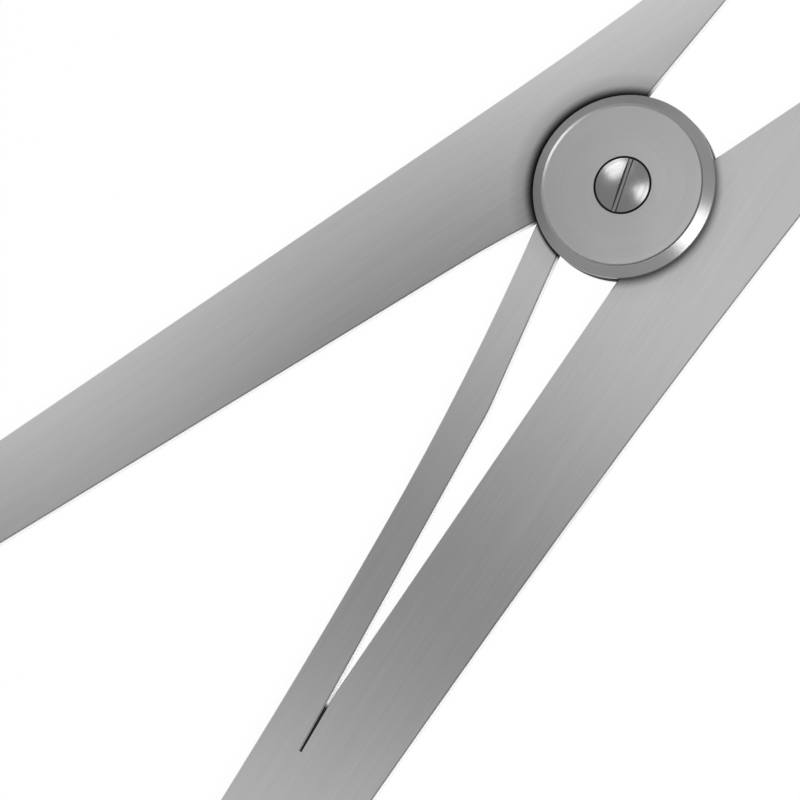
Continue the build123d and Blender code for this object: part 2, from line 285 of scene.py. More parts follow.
class CaliperPivotSettings(bpy.types.PropertyGroup):
    """Sizes of the turned pieces at the pivot"""

    chamfer_width: size_prop("Chamfer width", "Width of the washers' chamfer, seen from above", 0.70)
    chamfer_height: size_prop("Chamfer height", "Height of the washers' chamfer", 0.41)
    lip_width: size_prop("Lip width", "Thin lip inside the chamfer", 0.012)
    lip_slope: size_prop("Lip slope", "Width of the slope from the lip down to the face", 0.14)
    face_drop: size_prop("Face drop", "Depth of the face inside the lip", 0.068)
    recess_depth: size_prop("Recess depth", "Depth of the recess for the screw's head", 0.38)
    head_gap: size_prop("Head gap", "Gap round the screw's head", 0.14)
    bore_radius: size_prop("Bore radius", "Bore of the front washer", 1.03)
    post_bore_radius: size_prop("Post bore radius", "Bore of the back washer", 1.63)
    head_radius: size_prop("Head radius", "Radius of the screw's head", 1.885)
    head_crown: size_prop("Head crown", "Rise of the screw's head above the washer", 0.07)
    shank_radius: size_prop("Shank radius", "Radius of the screw's shank", 1.0)
    slot_width: size_prop("Slot width", "Width of the screw's slot at its widest", 0.40)
    slot_taper: share_prop("Slot taper", "Width of the slot's floor as a share of its widest", 0.90)
    # Painted shade lies along one side of the slot's floor, beyond this reach from its middle
    slot_clean: size_prop(
        "Clean slot floor", "From the slot's middle to the oil along one side of its floor", 0.055)
    slot_depth: size_prop("Slot depth", "Depth of the screw's slot", 0.15)
    slot_turn: angle_prop("Slot turn", "Turn of the screw's slot", 29.0)
    rim_share: share_prop("Rim", "Share of the washer's radius beyond which its rim starts", 0.996)
    edge_round: size_prop("Edge rounding", "Rounding of the turned edges", 0.01)
    # Past this lean the head's rounded edge gets painted shade, as the walls do
    edge_lean: angle_prop("Edge lean", "Lean from which the screw head's edge counts as wall", 18)
    turns: IntProperty(name="Turn steps", description="Flats round a turned piece", default=192, min=24)


class CaliperScaleSettings(bpy.types.PropertyGroup):
    """Marks on the graduated arc"""

    jaw_reach: size_prop("Jaw reach", "From the pivot to the tips of the jaws", 30)
    opening: size_prop("Opening", "Largest opening of the jaws on the scale", 14)
    zero_turn: angle_prop("Zero", "Direction of the pointer's tip with the jaws closed", 164.094)
    base_radius: size_prop("Base line radius", "Radius of the line that the marks stand on", 89.25)
    mark_lengths: lengths_prop(
        "Mark lengths", "Lengths of the tenth, half and whole millimetre marks", (0.95, 1.4, 1.9))
    mark_width: size_prop("Mark width", "Width of one mark", 0.075)
    fill_height: size_prop("Fill height", "How far the black fill stands above the arc", 0.004)
    numeral_height: size_prop("Numeral height", "Height of the numerals", 1.5)
    numeral_radius: size_prop("Numeral radius", "Radius of the numerals' middle", 92.35)


class CaliperStageSettings(bpy.types.PropertyGroup):
    """Camera, light and floor"""

    tilt: angle_prop("Tilt", "Lean of the view away from straight down", 21.3)
    axis_heading: angle_prop(
        "Tilt axis heading", "Direction on the caliper of the axis that the view leans about", 6.3)
    axis_in_picture: angle_prop("Tilt axis in the picture", "Direction of that axis in the picture", 49.9)
    distance: size_prop("Distance", "From the camera to the pivot", 900)
    pixels_per_mm: FloatProperty(
        name="Pixels per millimetre", description="Scale of the picture at the pivot", default=14.86, min=1,
        subtype="PIXEL")
    pivot_pixel: FloatVectorProperty(
        name="Pivot in the picture", description="Where the pivot stands in the picture, across and down",
        default=(625.3, 187.7), size=2, subtype="COORDINATES")
    floor_colour: grey_prop("Floor colour", "Pale floor", 0.9)
    floor_glow: share_prop(
        "Floor glow", "Strength of the floor's white, as the camera and the steel see it", 1.03, highest=2.0)
    room_level: share_prop("Room level", "Light of the room overhead", 0.45, highest=2.0)
    side_level: share_prop("Side level", "Light of the room low at the sides", 0.45, highest=2.0)
    far_level: share_prop("Far level", "Light of the room low beyond the caliper", 0.10, highest=2.0)
    key_power: power_prop("Key power", "Power of the key light", 0.37)
    top_power: power_prop("Top power", "Power of the overhead light", 0.034)
    far_power: power_prop("Far power", "Power of the light beyond the caliper", 0.047)


def linked(name, data):
    """New object in the scene"""
    new = bpy.data.objects.new(name, data)
    bpy.context.scene.collection.objects.link(new)
    return new


def mesh_from(name, bm):
    """Mesh from a bmesh, which is freed"""
    mesh = bpy.data.meshes.new(name)
    bm.to_mesh(mesh)
    bm.free()
    return mesh


def evaluated_mesh(source):
    """Mesh of an object after its modifiers, or of a text"""
    bpy.context.view_layer.update()
    return bpy.data.meshes.new_from_object(source.evaluated_get(bpy.context.evaluated_depsgraph_get()))


def finished(name, bm, body, crisp=CRISP):
    """Object from a bmesh, at the origin, riding on a body"""
    bmesh.ops.recalc_face_normals(bm, faces=bm.faces)
    for face in bm.faces:
        face.smooth = True
    mesh = mesh_from(name, bm)
    mesh.set_sharp_from_angle(angle=crisp)
    piece = linked(name, mesh)
    if body:
        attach(piece, body)
    return piece


def spin(bm, geom, centre, axis, angle, steps, merge=False):
    """Spins vertices and edges about an axis"""
    bmesh.ops.spin(
        bm, geom=geom, cent=centre, axis=axis, dvec=(0, 0, 0), angle=angle, steps=steps, use_merge=merge,
        use_normal_flip=False, use_duplicate=False)


def bisect(bm, place, normal):
    """Cuts a bmesh's faces along a plane"""
    bmesh.ops.bisect_plane(
        bm, geom=bm.verts[:] + bm.edges[:] + bm.faces[:], dist=CUT_WELD, plane_co=place, plane_no=normal)


def turned(profile, steps, rounding, dome=None):
    """Bmesh turned about the pivot's axis from a profile of radius and height, its end domed to a height"""
    bm = bmesh.new()
    rim = [bm.verts.new((radius, 0, height)) for radius, height in profile]
    for run in zip(rim, rim[1:] if dome else rim[1:] + rim[:1]):
        bm.edges.new(run)
    if dome:
        radius, edge = profile[-1]
        rise = dome - edge
        sphere = (radius ** 2 + rise ** 2) / (2 * rise)
        apex = bm.verts.new((0, 0, dome))
        spin(bm, [apex], (0, 0, dome - sphere), (0, 1, 0), asin(radius / sphere), DOME_STEPS)
        bmesh.ops.remove_doubles(bm, verts=bm.verts, dist=WELD)
    spin(bm, bm.verts[:] + bm.edges[:], (0, 0, 0), (0, 0, 1), 2 * pi, steps, merge=True)
    bmesh.ops.remove_doubles(bm, verts=bm.verts, dist=WELD)
    bmesh.ops.recalc_face_normals(bm, faces=bm.faces)
    rings = [
        edge for edge in bm.edges
        if len(edge.link_faces) == 2 and edge.calc_face_angle() > RING_LEAN
        and abs(edge.verts[0].co.z - edge.verts[1].co.z) < LEVEL_WITHIN
        and abs(edge.verts[0].co.xy.length - edge.verts[1].co.xy.length) < LEVEL_WITHIN
    ]
    bmesh.ops.bevel(
        bm, geom=rings, offset=rounding, offset_type="OFFSET", segments=ROUND_STEPS, profile=0.5,
        affect="EDGES", clamp_overlap=True, material=-1)
    return bm


def cut_away(piece, cutter_bm):
    """Cuts a block out of a piece for good"""
    cutter = linked("cutter", mesh_from("cutter", cutter_bm))
    cut = piece.modifiers.new("slot", "BOOLEAN")
    cut.operation = "DIFFERENCE"
    cut.solver = "EXACT"
    cut.object = cutter
    result = evaluated_mesh(piece)
    piece.modifiers.clear()
    old = piece.data
    piece.data = result
    bpy.data.meshes.remove(old)
    bpy.data.objects.remove(cutter)
    result.set_sharp_from_angle(angle=CRISP)


def block(bm, size, matrix):
    """Box of a size in a bmesh, placed by a matrix"""
    bmesh.ops.create_cube(bm, size=1, matrix=matrix @ Matrix.Diagonal((*size, 1)))


def add(tree, kind, inputs=None, **settings):
    """Node with its settings and inputs; an input is a value or another node's output"""
    node = tree.nodes.new(kind)
    for key, value in settings.items():
        setattr(node, key, value)
    for key, value in (inputs or {}).items():
        if isinstance(value, bpy.types.NodeSocket):
            tree.links.new(value, node.inputs[key])
        else:
            node.inputs[key].default_value = value
    return node


def maths(tree, operation, *values, clamp=False):
    """Math node's output"""
    node = add(tree, "ShaderNodeMath", dict(enumerate(values)), operation=operation, use_clamp=clamp)
    return node.outputs[0]


def times(tree, first, second):
    """Product of two values"""
    return maths(tree, "MULTIPLY", first, second)


def plus(tree, first, second, clamp=False):
    """Sum of two values"""
    return maths(tree, "ADD", first, second, clamp=clamp)


def vectors(tree, operation, first, **second):
    """Vector math node's output; the second input is named by or Scale"""
    inputs = {1 if key == "by" else key: value for key, value in second.items()}
    node = add(tree, "ShaderNodeVectorMath", {0: first, **inputs}, operation=operation)
    return node.outputs["Value" if operation in ("LENGTH", "DISTANCE", "DOT_PRODUCT") else "Vector"]


def parts_of(tree, vector):
    """A vector's three parts"""
    return add(tree, "ShaderNodeSeparateXYZ", {0: vector}).outputs


def vector_of(tree, *parts):
    """Vector from its first parts"""
    return add(tree, "ShaderNodeCombineXYZ", dict(enumerate(parts))).outputs[0]


def noise(tree, vector, detail, roughness=0.6, distortion=0.0, scale=1.0):
    """Noise texture's level"""
    return add(tree, "ShaderNodeTexNoise", {
        "Vector": vector, "Scale": scale, "Detail": detail, "Roughness": roughness,
        "Distortion": distortion}).outputs["Fac"]


def span(tree, value, low, high, to_low, to_high):
    """Value mapped from one span to another, held at its ends"""
    node = add(tree, "ShaderNodeMapRange", {
        "Value": value, "From Min": low, "From Max": high, "To Min": to_low, "To Max": to_high}, clamp=True)
    return node.outputs["Result"]


def noise_span(tree, value, to_low, to_high):
    """A noise's usual levels mapped to a span"""
    return span(tree, value, *NOISE_SPAN, to_low, to_high)


def straight_grain(group, given):
    """Brushed lines along X, in three widths"""
    per_metre = maths(group, "DIVIDE", 1.0, given["Width"])
    layers = []
    for shrink, stretch, detail, weight in GRAIN_LAYERS:
        squeezed = vectors(group, "MULTIPLY", given["Vector"], by=(stretch * shrink, shrink, shrink))
        lines = noise(group, vectors(group, "SCALE", squeezed, Scale=per_metre), detail)
        layers.append(times(group, lines, weight))
    mix = plus(group, layers[0], layers[1])
    return plus(group, mix, layers[2]), mix


def turned_rings(group, given):
    """Fine rings of a turned face round the Z axis"""
    parts = parts_of(group, given["Vector"])
    flat = vector_of(group, parts[0], parts[1])
    steps = maths(group, "DIVIDE", vectors(group, "LENGTH", flat), given["Width"])
    outward = vectors(group, "NORMALIZE", flat)
    layers = []
    for shrink, bend, weight in RING_LAYERS:
        turn = parts_of(group, vectors(group, "SCALE", outward, Scale=bend))
        lines = noise(group, vector_of(group, times(group, steps, shrink), turn[0], turn[1]), 2.0)
        layers.append(times(group, lines, weight))
    mix = plus(group, *layers)
    return mix, mix


def handling(group, given):
    """Soft smudges and a few hairline scratches from handling"""
    per_metre = maths(group, "DIVIDE", 1.0, given["Size"])
    scaled = vectors(group, "SCALE", given["Vector"], Scale=per_metre)
    smudge = noise(group, scaled, 4.0, roughness=0.55, distortion=0.4)
    hairs = []
    for turn, seed in SCRATCHES:
        place = add(group, "ShaderNodeMapping", {
            "Vector": scaled, "Rotation": (0, 0, turn), "Location": (seed, seed, 0),
            "Scale": SCRATCH_STRETCH})
        hair = noise(group, place.outputs[0], 1.0, roughness=0.5)
        hairs.append(span(group, hair, *SCRATCH_SPAN, 0.0, 1.0))
    return smudge, maths(group, "MAXIMUM", *hairs)


def face_kinds(group, given):
    """Tells flat faces and upright walls from the slanted edges between them"""
    lean = maths(group, "ABSOLUTE", parts_of(group, given["Normal"])[2])
    upright = span(group, lean, *UPRIGHT_LEAN, 1.0, 0.0)
    return maths(group, "MAXIMUM", span(group, lean, *FLAT_LEAN, 0.0, 1.0), upright), upright


def slow_drift(group, given):
    """Painted light and shade: a slow change of tone along a piece from a place on, and across the piece"""
    parts = parts_of(group, given["Vector"])
    start = given["Start"]
    along = maths(group, "SUBTRACT", maths(group, "MINIMUM", parts[0], start), start)
    phase = times(group, maths(group, "DIVIDE", along, given["Length"]), 2 * pi)
    wave = times(group, maths(group, "COSINE", phase), given["Along"])
    across = times(group, maths(group, "DIVIDE", parts[1], MM), given["Across per mm"])
    level = plus(group, plus(group, given["Middle"], wave), across)
    return (span(group, level, *PAINTED_LIGHT_SPAN, *PAINTED_LIGHT_SPAN),)


def oil_ring(group, given):
    """Painted shadow round a washer: a dark ring at its rim and a softer shade round it"""
    parts = parts_of(group, vectors(group, "SUBTRACT", given["Vector"], by=given["Centre"]))
    distance = vectors(group, "LENGTH", vector_of(group, parts[0], parts[1]))
    beyond = maths(group, "SUBTRACT", distance, given["Radius"])
    painted_shadow = add(group, "ShaderNodeMapRange", {
        "Value": beyond, "From Min": given["Start"], "From Max": given["End"], "To Min": given["Tone"],
        "To Max": 1.0}, interpolation_type="SMOOTHSTEP")
    soft_shadow = span(group, beyond, given["Start"], given["Soft shadow reach"], given["Soft shadow"], 1.0)
    return (times(group, painted_shadow.outputs["Result"], soft_shadow),)


def grime_pocket(group, given):
    """Painted shade that darkens masked faces near a place"""
    reach = vectors(group, "DISTANCE", given["Vector"], by=given["Place"])
    near = span(group, reach, given["Start"], given["End"], 1.0, 0.0)
    dark = times(group, near, given["Mask"])
    return (span(group, dark, 0.0, 1.0, 1.0, given["Tone"]),)


# Each shared group's maker, its inputs, where one without a default is a vector, and its outputs
GROUPS = {
    "Straight grain": (straight_grain, {"Vector": None, "Width": 0.06 * MM}, ("Tone", "Height")),
    "Turned rings": (turned_rings, {"Vector": None, "Width": 0.05 * MM}, ("Tone", "Height")),
    "Handling marks": (handling, {"Vector": None, "Size": 6 * MM}, ("Smudge", "Scratch")),
    "Face kinds": (face_kinds, {"Normal": None}, ("Flat or upright", "Upright")),
    "Painted light gradient": (slow_drift, {
        "Vector": None, "Start": 0.0, "Length": 50 * MM, "Middle": 1.0, "Along": 0.0, "Across per mm": 0.0,
    }, ("Level",)),
    "Painted shadow ring": (oil_ring, {
        "Vector": None, "Centre": None, "Radius": 6 * MM, "Start": 0.0, "End": 1 * MM, "Tone": 0.1,
        "Soft shadow": 0.8, "Soft shadow reach": 2 * MM,
    }, ("Level",)),
    "Painted shade pocket": (grime_pocket, {
        "Vector": None, "Place": None, "Start": 3 * MM, "End": 5 * MM, "Mask": 1.0, "Tone": 0.04,
    }, ("Level",)),
}


def shared_group(name):
    """A shader node group by name, made once"""
    group = bpy.data.node_groups.get(name)
    if group:
        return group
    maker, inputs, outputs = GROUPS[name]
    group = bpy.data.node_groups.new(name, "ShaderNodeTree")
    for label, default in inputs.items():
        kind = "NodeSocketVector" if default is None else "NodeSocketFloat"
        socket = group.interface.new_socket(name=label, in_out="INPUT", socket_type=kind)
        if default is not None:
            socket.default_value = default
    for label in outputs:
        group.interface.new_socket(name=label, in_out="OUTPUT", socket_type="NodeSocketFloat")
    given = group.nodes.new("NodeGroupInput").outputs
    sink = group.nodes.new("NodeGroupOutput").inputs
    for label, value in zip(outputs, maker(group, given)):
        group.links.new(value, sink[label])
    return group


def placed(tree, name, inputs):
    """Outputs of a shared group in a material, with the material's own links and values"""
    return add(tree, "ShaderNodeGroup", inputs, node_tree=shared_group(name)).outputs


def new_material(name):
    """Material, its node tree and its shader"""
    material = bpy.data.materials.new(name)
    material.use_nodes = True
    return material, material.node_tree, material.node_tree.nodes["Principled BSDF"]


def steel(name, colour, roughness, lines, pattern="Turned rings", turn=0.0, tone_span=LINE_TONE,
          rough_span=LINE_ROUGHNESS, anisotropy=0.0, centre=(0, 0, 0), marks=1.0, painted_light=None, faces=None,
          painted_shadow=None, pocket=None):
    """Steel with brushed or turned lines of a width and depth, smudges and hairlines

    The painted light, the painted shadow round the washer and the painted shade near a place come as inputs
    of their groups; faces holds the painted shade of chamfered edges and the painted light of side walls
    """
    width, depth = lines
    material, tree, shader = new_material(name)
    shader.inputs["Metallic"].default_value = 1.0
    coordinates = add(tree, "ShaderNodeTexCoord").outputs
    on_piece = coordinates["Object"]
    place = add(tree, "ShaderNodeMapping", {
        "Vector": on_piece, "Location": centre, "Rotation": (0, 0, turn)}, vector_type="TEXTURE").outputs[0]
    grain = placed(tree, pattern, {"Vector": place, "Width": width})
    worn = placed(tree, "Handling marks", {"Vector": on_piece})
    tone = noise_span(tree, grain["Tone"], 1.0 - tone_span, 1.0 + tone_span)
    smudge = noise_span(tree, worn["Smudge"], -SMUDGE * marks, SMUDGE * marks)
    scratch = times(tree, worn["Scratch"], SCRATCH * marks)
    level = plus(tree, plus(tree, tone, smudge), scratch)
    rough = noise_span(tree, grain["Tone"], roughness + rough_span, roughness - rough_span)
    height = grain["Height"]
    # Painted light and shade changing slowly over the piece
    if painted_light:
        level = times(tree, level, placed(tree, "Painted light gradient", {"Vector": place, **painted_light})["Level"])
    # Painted shade on chamfered edges and painted light on upright side walls
    if faces:
        edge_tone, wall_tone = faces
        kinds = placed(tree, "Face kinds", {"Normal": coordinates["Normal"]})
        kept, upright = kinds["Flat or upright"], kinds["Upright"]
        level = times(tree, level, span(tree, kept, 0.0, 1.0, edge_tone, 1.0))
        level = add(tree, "ShaderNodeMix", {0: upright, 2: level, 3: wall_tone}, data_type="FLOAT").outputs[0]
        rough = times(tree, rough, span(tree, kept, 0.0, 1.0, EDGE_ROUGHNESS_SHARE, 1.0))
        height = times(tree, height, kept)
    # Painted shadow of the washer round its rim
    if painted_shadow:
        level = times(tree, level, placed(tree, "Painted shadow ring", {"Vector": on_piece, **painted_shadow})["Level"])
    # Painted shade on the walls near the slit's end
    if pocket:
        grime = placed(tree, "Painted shade pocket", {"Vector": on_piece, "Mask": upright, **pocket})
        level = times(tree, level, grime["Level"])
    tree.links.new(vectors(tree, "SCALE", colour, Scale=level), shader.inputs["Base Color"])
    uneven = noise_span(tree, worn["Smudge"], -SMUDGE, SMUDGE)
    tree.links.new(plus(tree, rough, uneven, clamp=True), shader.inputs["Roughness"])
    bump = add(tree, "ShaderNodeBump", {"Height": height, "Strength": 1.0, "Distance": depth})
    tree.links.new(bump.outputs[0], shader.inputs["Normal"])
    if anisotropy:
        shader.inputs["Anisotropic"].default_value = anisotropy
        shader.inputs["Anisotropic Rotation"].default_value = QUARTER_TURN
        if pattern == "Turned rings":
            tangent = add(tree, "ShaderNodeTangent", direction_type="RADIAL", axis="Z").outputs[0]
        else:
            tangent = add(tree, "ShaderNodeVectorTransform", {0: vector_of(tree, cos(turn), sin(turn))},
                          vector_type="VECTOR", convert_from="OBJECT", convert_to="WORLD").outputs[0]
        tree.links.new(tangent, shader.inputs["Tangent"])
    return material


def plain_paint(name, colour, roughness):
    """Matt fill with a little unevenness"""
    material, tree, shader = new_material(name)
    coordinates = add(tree, "ShaderNodeTexCoord").outputs
    uneven = noise(tree, coordinates["Object"], 3.0, roughness=0.5, scale=PAINT_GRAIN)
    level = noise_span(tree, uneven, *PAINT_TONE)
    tree.links.new(vectors(tree, "SCALE", colour, Scale=level), shader.inputs["Base Color"])
    rough = noise_span(tree, uneven, roughness - PAINT_ROUGHNESS, roughness + PAINT_ROUGHNESS)
    tree.links.new(rough, shader.inputs["Roughness"])
    return material


def recess_grime():
    """Painted shade: a near black for the recess, the walls of the slot and of the head, and one corner of
    the slot's floor
    """
    return bpy.data.materials.get("recess_grime") or plain_paint("recess_grime", *PAINTED_SHADE_BLACK)


def drift_inputs(tones, start=0.0):
    """Inputs of the painted light and shade from a middle tone and its change along and across"""
    return {"Start": start, "Middle": tones[0], "Along": tones[1], "Across per mm": tones[2]}


def dress(node_name, material):
    """Gives a CAD node its material"""
    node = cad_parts[node_name]
    if not node.material_slots:
        node.data.materials.append(None)
    for slot in node.material_slots:
        slot.link = "OBJECT"
        slot.material = material


class CALIPER_OT_legs(bpy.types.Operator):
    """Brush the legs and the spring tongue along their length"""

    bl_idname = "caliper.legs"
    bl_label = "Legs and tongue"

    def execute(self, context):
        look = context.scene.caliper_steel
        shade_settings = context.scene.caliper_oil
        # Where the painted shade in the slit lies
        slit = {
            "Place": tuple(context.scene.caliper_spring.slit_end), "Start": shade_settings.slit_span[0],
            "End": shade_settings.slit_span[1], "Tone": shade_settings.slit_tone}
        pointer = (look.pointer_grain_turn, drift_inputs(look.pointer_drift, look.pointer_drift_start))
        scale = (look.scale_grain_turn, drift_inputs(look.scale_drift, look.scale_drift_start))
        for name, (turn, painted_light), centre, shadow_span, shadow_tone, pocket in (
                ("pointer_leg_steel", pointer, shade_settings.pointer_oil_centre, shade_settings.pointer_oil_span,
                 shade_settings.pointer_oil_tone, None),
                ("scale_leg_steel", scale, shade_settings.scale_oil_centre, shade_settings.scale_oil_span,
                 shade_settings.scale_oil_tone, slit),
                ("tongue_steel", scale, (0, 0, 0), shade_settings.tongue_oil_span, shade_settings.tongue_oil_tone, slit)):
            # Painted shadow round the front washer's rim
            painted_shadow = {
                "Centre": tuple(centre), "Radius": FRONT_HIGH.x, "Start": shadow_span[0], "End": shadow_span[1],
                "Tone": shadow_tone[0], "Soft shadow": shadow_tone[1], "Soft shadow reach": shade_settings.haze_reach}
            steel(name, tuple(look.leg_colour), look.leg_roughness,
                  (look.grain_width, look.grain_depth), pattern="Straight grain", turn=turn,
                  tone_span=LEG_LINE_TONE, anisotropy=look.leg_anisotropy, marks=LEG_MARKS, painted_light=painted_light,
                  faces=(look.edge_tone, look.wall_tone), painted_shadow=painted_shadow, pocket=pocket)
        dress("pointer_leg", bpy.data.materials["pointer_leg_steel"])
        dress("scale_leg", bpy.data.materials["scale_leg_steel"])
        return {"FINISHED"}


class CALIPER_OT_tongue(bpy.types.Operator):
    """Cut the spring tongue into steps along its bend, as a piece of its own"""

    bl_idname = "caliper.tongue"
    bl_label = "Spring tongue"

    def execute(self, context):
        spring = context.scene.caliper_spring
        bm = bmesh.new()
        bm.from_mesh(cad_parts["spring_tongue"].data)
        bmesh.ops.remove_doubles(bm, verts=bm.verts, dist=TONGUE_WELD)
        root = Vector(spring.root)
        along = Vector((cos(spring.heading), sin(spring.heading), 0))
        for cut in range(1, spring.cuts):
            bisect(bm, root + along * (spring.bend_length * cut / spring.cuts), along)
        piece = finished("spring_tongue_bending", bm, None, crisp=TONGUE_CRISP)
        piece.data.materials.append(bpy.data.materials["tongue_steel"])
        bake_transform(piece)
        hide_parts("spring_tongue")
        return {"FINISHED"}


class CALIPER_OT_arc(bpy.types.Operator):
    """Finish the graduated arc and the shims"""

    bl_idname = "caliper.arc"
    bl_label = "Arc and shims"

    def execute(self, context):
        look = context.scene.caliper_steel
        dress("scale_arc", steel(
            "arc_satin_steel", tuple(look.arc_colour), look.arc_roughness,
            (ARC_LINE_WIDTH, look.grain_depth)))
        shim = steel("shim_dark_steel", *SHIM, SHIM_LINES)
        dress("front_shim", shim)
        dress("back_shim", shim)
        return {"FINISHED"}


class CALIPER_OT_washers(bpy.types.Operator):
    """Turn the front and back pivot washers with their polished chamfers"""

    bl_idname = "caliper.washers"
    bl_label = "Pivot washers"

    def execute(self, context):
        size = context.scene.caliper_pivot
        look = context.scene.caliper_steel
        colour = tuple(look.washer_colour)
        face_steel = steel(
            "washer_face_steel", colour, look.washer_roughness, FACE_LINES, tone_span=FACE_LINE_TONE,
            anisotropy=look.washer_anisotropy, turn=look.washer_drift_turn, marks=WASHER_MARKS,
            painted_light=drift_inputs(look.washer_drift))
        chamfer_steel = steel(
            "washer_chamfer_steel", colour, look.chamfer_roughness, CHAMFER_LINES,
            tone_span=FINE_LINE_TONE, rough_span=FINE_LINE_ROUGHNESS,
            anisotropy=look.chamfer_anisotropy, marks=WASHER_MARKS)
        # Painted shade on the front washer's rim and painted light on the back washer's rim
        rim_painted_shade = steel("washer_rim_painted_shade", *FRONT_RIM_PAINTED_SHADE, RIM_LINES, marks=WASHER_MARKS)
        back_rim_painted_light = steel("back_rim_painted_light", *BACK_RIM_PAINTED_LIGHT, RIM_LINES, marks=WASHER_MARKS)
        lip_steel = steel(
            "washer_lip_steel", tuple(look.lip_colour), look.lip_roughness, FACE_LINES,
            marks=WASHER_MARKS)
        outer = FRONT_HIGH.x
        top = FRONT_HIGH.z
        low = FRONT_LOW.z
        shoulder = outer - size.chamfer_width
        lip = shoulder - size.lip_width - size.lip_slope
        face = top - size.face_drop
        recess = size.head_radius + size.head_gap
        floor = top - size.recess_depth
        profile = [
            (size.bore_radius, low), (outer, low), (outer, top - size.chamfer_height), (shoulder, top),
            (shoulder - size.lip_width, top), (lip, face), (recess, face), (recess, floor),
            (size.bore_radius, floor)]
        front = self.make("front_washer_turned", profile, size, shoulder, lip,
                          (face_steel, chamfer_steel, recess_grime(), rim_painted_shade, lip_steel))
        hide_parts("front_washer")
        high = BACK_HIGH.z
        profile = [
            (size.post_bore_radius, high), (outer, high), (outer, size.chamfer_height), (shoulder, 0),
            (recess, 0), (recess, size.recess_depth), (size.post_bore_radius, size.recess_depth)]
        back = self.make("back_washer_turned", profile, size, shoulder, shoulder,
                         (face_steel, chamfer_steel, recess_grime(), back_rim_painted_light))
        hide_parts("back_washer")
        post_steel = steel("post_steel", colour, POST_ROUGHNESS, POST_LINES, anisotropy=POST_ANISOTROPY)
        dress("pivot_post", post_steel)
        return {"FINISHED"}

    def make(self, name, profile, size, shoulder, lip, finishes):
        """One turned washer, its lip, chamfer and rim in their own materials"""
        bm = turned(profile, size.turns, size.edge_round)
        for face in bm.faces:
            reach = face.calc_center_median().xy.length
            if reach > size.rim_share * FRONT_HIGH.x:
                face.material_index = RIM
            elif reach > shoulder:
                face.material_index = CHAMFER
            elif reach > lip:
                face.material_index = LIP
            # The recess round the screw's head gets painted shade
            elif reach < size.head_radius + size.head_gap + LEVEL_WITHIN:
                face.material_index = RECESS
            else:
                face.material_index = FACE
        piece = finished(name, bm, "scale_side")
        for finish in finishes:
            piece.data.materials.append(finish)
        return piece


class CALIPER_OT_pivot_screw(bpy.types.Operator):
    """Turn the slotted pivot screw with its crowned head"""

    bl_idname = "caliper.pivot_screw"
    bl_label = "Pivot screw"

    def execute(self, context):
        size = context.scene.caliper_pivot
        look = context.scene.caliper_steel
        under = FRONT_HIGH.z - size.recess_depth
        profile = [
            (0, SCREW_LOW.z), (size.shank_radius, SCREW_LOW.z), (size.shank_radius, under),
            (size.head_radius, under), (size.head_radius, FRONT_HIGH.z - size.head_crown)]
        bm = turned(profile, size.turns, size.edge_round, dome=SCREW_HIGH.z)
        piece = finished("pivot_screw_slotted", bm, "scale_side")
        cutter = bmesh.new()
        depth = 2 * size.slot_depth
        floor = FRONT_HIGH.z - size.slot_depth
        place = (Matrix.Translation((0, 0, floor + depth / 2)) @ Matrix.Rotation(size.slot_turn, 4, "Z"))
        block(cutter, (3 * size.head_radius, size.slot_width, depth), place)
        low = [vert for vert in cutter.verts if vert.co.z < floor + depth / 4]
        bmesh.ops.scale(cutter, vec=(1, size.slot_taper, 1), space=place.inverted(), verts=low)
        cut_away(piece, cutter)
        piece.data.materials.append(steel(
            "screw_polished_steel", tuple(look.screw_colour), look.screw_roughness, SCREW_LINES,
            anisotropy=look.screw_anisotropy, tone_span=FINE_LINE_TONE))
        piece.data.materials.append(recess_grime())
        self.grime(piece, size, place, floor)
        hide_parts("pivot_screw")
        return {"FINISHED"}

    def grime(self, piece, size, place, floor):
        """Painted shade down the walls and rounded edge of the head and the walls of the slot, and along one
        corner of the slot's floor
        """
        bm = bmesh.new()
        bm.from_mesh(piece.data)
        across = place.to_3x3() @ Vector((0, 1, 0))
        bisect(bm, across * -size.slot_clean, across)
        for face in bm.faces:
            middle = face.calc_center_median()
            wall = abs(face.normal.z) < cos(size.edge_lean)
            corner = abs(middle.z - floor) < FLOOR_WITHIN and middle.dot(across) < -size.slot_clean
            face.material_index = 1 if wall or corner else 0
        bm.to_mesh(piece.data)
        bm.free()


class CALIPER_OT_arc_screws(bpy.types.Operator):
    """Finish the two countersunk screws that hold the arc"""

    bl_idname = "caliper.arc_screws"
    bl_label = "Arc screws"

    def execute(self, context):
        colour = tuple(context.scene.caliper_steel.washer_colour)
        for node_name in ("arc_screw_inner", "arc_screw_outer"):
            low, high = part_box(node_name)
            middle = (low + high) / 2
            dress(node_name, steel(f"{node_name}_steel", colour, ARC_SCREW_ROUGHNESS, ARC_SCREW_LINES,
                                   centre=(middle.x, middle.y, 0)))
        return {"FINISHED"}


